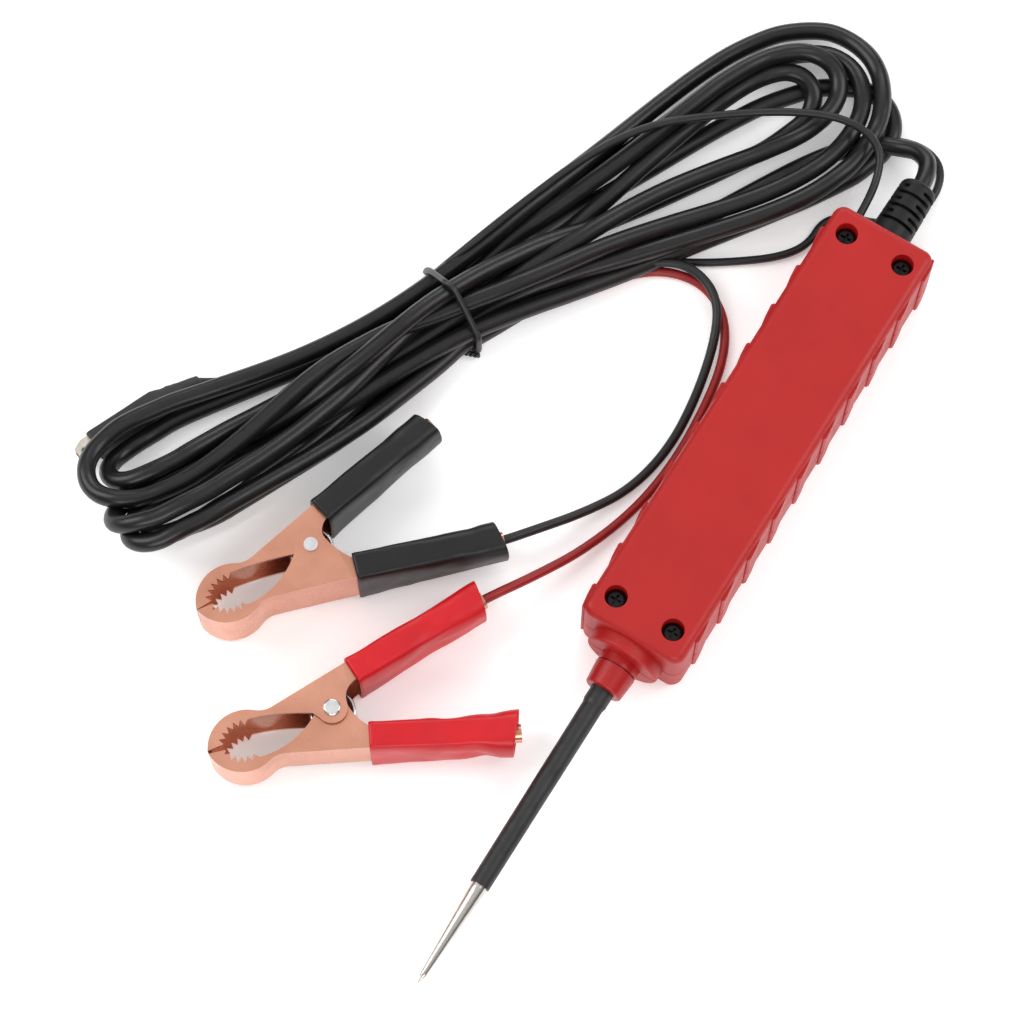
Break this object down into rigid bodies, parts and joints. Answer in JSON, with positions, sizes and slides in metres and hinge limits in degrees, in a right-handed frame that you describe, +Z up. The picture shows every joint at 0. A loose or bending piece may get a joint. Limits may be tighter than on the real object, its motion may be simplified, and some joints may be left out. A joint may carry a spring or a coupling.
{
  "type": "circuit test light",
  "caption": "Powered automotive circuit test light with a pointed probe, grip-ridged case, bundled supply cable, battery clamps and a small ground clip.",
  "frame": {"origin": "under the middle of the tester (case, probe and strain relief), on the floor it lies on", "axes": "+X from the cable end to the probe tip, +Z up out of the back cover, +Y completes the right hand; the tester lies on its front face"},
  "size_m": [0.2722, 0.1601, 0.023],
  "materials": {
    "red_shell": "satin moulded plastic",
    "black_plastic": "fine satin",
    "cable_pvc": "satin PVC jacket",
    "red_pvc": "soft glossy PVC",
    "black_pvc": "soft satin PVC",
    "probe_steel": "polished, lengthwise grain",
    "copper": "copper-plated steel sheet, satin",
    "zinc_steel": "bright zinc",
    "black_screw": "black oxide",
    "brass": "turned",
    "board_green": "solder mask",
    "component_black": "moulded",
    "fuse_yellow": "dipped",
    "capacitor_can": "drawn can",
    "led_red": "tinted clear lens",
    "led_green": "tinted clear lens",
    "tie_black": "coated wire"
  },
  "bodies": {
    "tester": {"back_cover": "red_shell", "black_clamp_lead_jaw": "copper", "black_clamp_lead_sleeve": "black_pvc", "black_clamp_rivet": "zinc_steel", "black_clamp_spring": "zinc_steel", "black_lead": "black_pvc", "buzzer": "component_black", "cable_hank": "cable_pvc", "cable_split_sleeve": "black_pvc", "capacitor": "capacitor_can", "circuit_board": "board_green", "control_chips": "component_black", "cover_screws": "black_screw", "front_cover": "red_shell", "ground_clip_boot": "black_pvc", "ground_clip_lead_jaw": "zinc_steel", "ground_clip_pin": "zinc_steel", "ground_clip_spring": "zinc_steel", "ground_lead_clip_end": "cable_pvc", "ground_lead_lower": "cable_pvc", "ground_lead_upper": "cable_pvc", "inner_wires": "red_pvc", "led_green": "led_green", "led_red": "led_red", "main_cable_tail": "cable_pvc", "power_transistors": "component_black", "probe_collar": "red_shell", "probe_rod": "probe_steel", "probe_sleeve": "black_pvc", "probe_socket": "brass", "red_clamp_lead_jaw": "copper", "red_clamp_lead_sleeve": "red_pvc", "red_clamp_rivet": "zinc_steel", "red_clamp_spring": "zinc_steel", "red_lead": "red_pvc", "resettable_fuse": "fuse_yellow", "rocker_base": "component_black", "rocker_pin": "zinc_steel", "rocker_spring": "zinc_steel", "strain_relief": "black_plastic", "twist_tie": "tie_black"},
    "rocker": {"rocker_button": "black_plastic"},
    "red_clamp_jaw": {"red_clamp_moving_jaw": "copper", "red_clamp_moving_sleeve": "red_pvc"},
    "black_clamp_jaw": {"black_clamp_moving_jaw": "copper", "black_clamp_moving_sleeve": "black_pvc"},
    "ground_clip_jaw": {"ground_clip_moving_jaw": "zinc_steel"}
  },
  "joints": [
    {"name": "rocker_tilt", "type": "hinge", "parent": "tester", "child": "rocker", "pos_m": [-0.038, 0, 0.0044], "axis": [0, 1, 0], "range_deg": [-8, 8], "stiffness_Nm_per_rad": 0.05, "deforming": ["rocker_spring"]},
    {"name": "red_clamp_hinge", "type": "hinge", "parent": "tester", "child": "red_clamp_jaw", "pos_m": [0.07499, -0.05249, 0.0088], "axis": [0, 0, 1], "range_deg": [0, 25], "stiffness_Nm_per_rad": 0.9, "springref_deg": -11.46, "deforming": ["red_clamp_spring"]},
    {"name": "black_clamp_hinge", "type": "hinge", "parent": "tester", "child": "black_clamp_jaw", "pos_m": [0.04306, -0.0791, 0.0088], "axis": [0, 0, -1], "range_deg": [0, 25], "stiffness_Nm_per_rad": 0.9, "springref_deg": -11.46, "deforming": ["black_clamp_spring"]},
    {"name": "ground_clip_hinge", "type": "hinge", "parent": "tester", "child": "ground_clip_jaw", "pos_m": [0.0372, -0.1382, 0.0034], "axis": [0, 0, -1], "range_deg": [0, 18], "stiffness_Nm_per_rad": 0.06, "springref_deg": -14.32, "deforming": ["ground_clip_spring", "ground_clip_boot"]}
  ]
}
